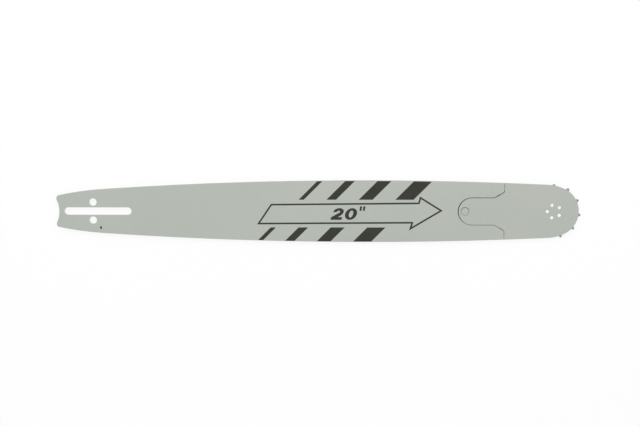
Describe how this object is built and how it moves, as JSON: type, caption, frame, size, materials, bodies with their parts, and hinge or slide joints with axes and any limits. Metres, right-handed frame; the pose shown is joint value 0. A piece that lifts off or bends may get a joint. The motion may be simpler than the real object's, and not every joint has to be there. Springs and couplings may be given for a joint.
{
  "type": "chainsaw guide bar",
  "caption": "Long flat steel bar with a chain groove in both edges, a stud slot and tension-pin holes at the tail, and a riveted round nose that holds a free-turning sprocket.",
  "frame": {"origin": "middle of the stud slot, on the back face that the bar lies on", "axes": "+X along the bar from tail to nose, +Y across it, +Z from the back face to the front face"},
  "size_m": [0.6025, 0.0708, 0.0048],
  "materials": {
    "bar_paint": "satin grey paint",
    "rivet_steel": "ground bare steel",
    "sprocket_steel": "hardened steel",
    "bearing_steel": "ground bearing steel"
  },
  "bodies": {
    "bar": {"bar_body": "bar_paint", "nose_plate_front": "bar_paint", "nose_plate_back": "bar_paint", "bearing_race": "bearing_steel", "nose_rivet": "bar_paint", "hub_rivets": "rivet_steel"},
    "sprocket": {"nose_sprocket": "sprocket_steel"},
    "roller_set": {"bearing_roller_01": "bearing_steel", "bearing_roller_02": "bearing_steel", "bearing_roller_03": "bearing_steel", "bearing_roller_04": "bearing_steel", "bearing_roller_05": "bearing_steel", "bearing_roller_06": "bearing_steel", "bearing_roller_07": "bearing_steel", "bearing_roller_08": "bearing_steel", "bearing_roller_09": "bearing_steel", "bearing_roller_10": "bearing_steel", "bearing_roller_11": "bearing_steel", "bearing_roller_12": "bearing_steel", "bearing_roller_13": "bearing_steel", "bearing_roller_14": "bearing_steel", "bearing_roller_15": "bearing_steel", "bearing_roller_16": "bearing_steel", "bearing_roller_17": "bearing_steel", "bearing_roller_18": "bearing_steel", "bearing_roller_19": "bearing_steel", "bearing_roller_20": "bearing_steel", "bearing_roller_21": "bearing_steel", "bearing_roller_22": "bearing_steel", "bearing_roller_23": "bearing_steel", "bearing_roller_24": "bearing_steel"}
  },
  "joints": [
    {"name": "sprocket_spin", "type": "hinge", "parent": "bar", "child": "sprocket", "pos_m": [0.52375, 0, 0.0024], "axis": [0, 0, 1], "continuous": true},
    {"name": "roller_orbit", "type": "hinge", "parent": "bar", "child": "roller_set", "pos_m": [0.52375, 0, 0.0024], "axis": [0, 0, 1], "continuous": true}
  ],
  "couplings": [
    {"joint": "roller_orbit", "follows": "sprocket_spin", "ratio": 0.56626}
  ]
}
